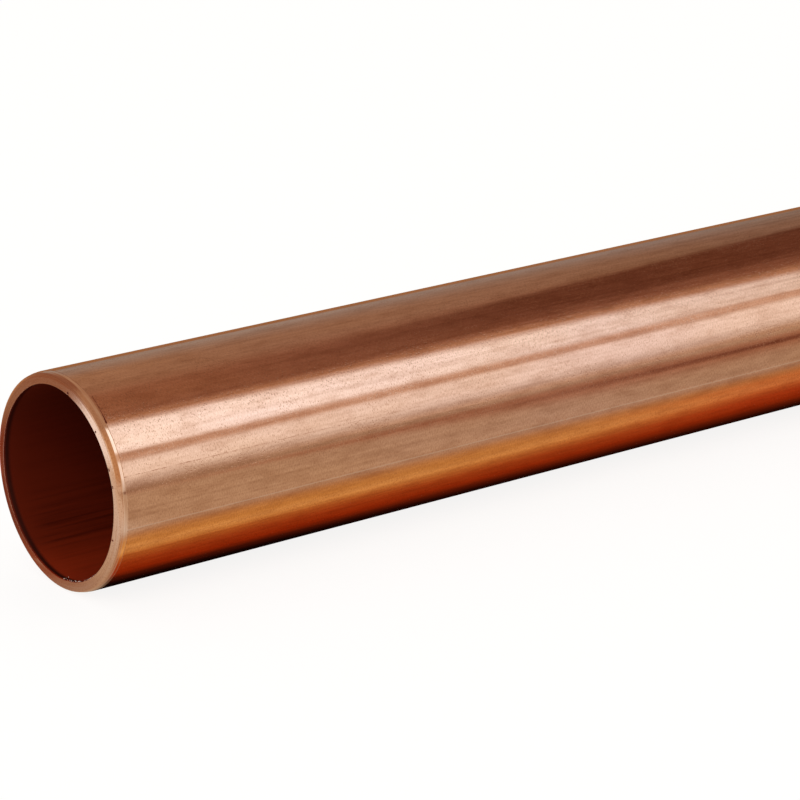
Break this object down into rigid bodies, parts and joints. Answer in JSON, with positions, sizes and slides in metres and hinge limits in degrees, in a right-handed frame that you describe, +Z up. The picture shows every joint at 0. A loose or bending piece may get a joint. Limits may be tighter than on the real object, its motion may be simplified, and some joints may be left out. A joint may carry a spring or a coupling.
{
  "type": "copper tube",
  "caption": "Straight length of round hard-drawn copper tube with cut, bevelled ends, for plumbing, heating or gas pipework.",
  "frame": {"origin": "on the surface that the tube lies on, below the middle of its length", "axes": "+X along the tube, away from the end that the picture shows; +Z up"},
  "size_m": [1, 0.028, 0.028],
  "materials": {
    "drawn_copper": "drawn, bright"
  },
  "bodies": {
    "root": {"copper_tube": "drawn_copper"}
  },
  "joints": []
}
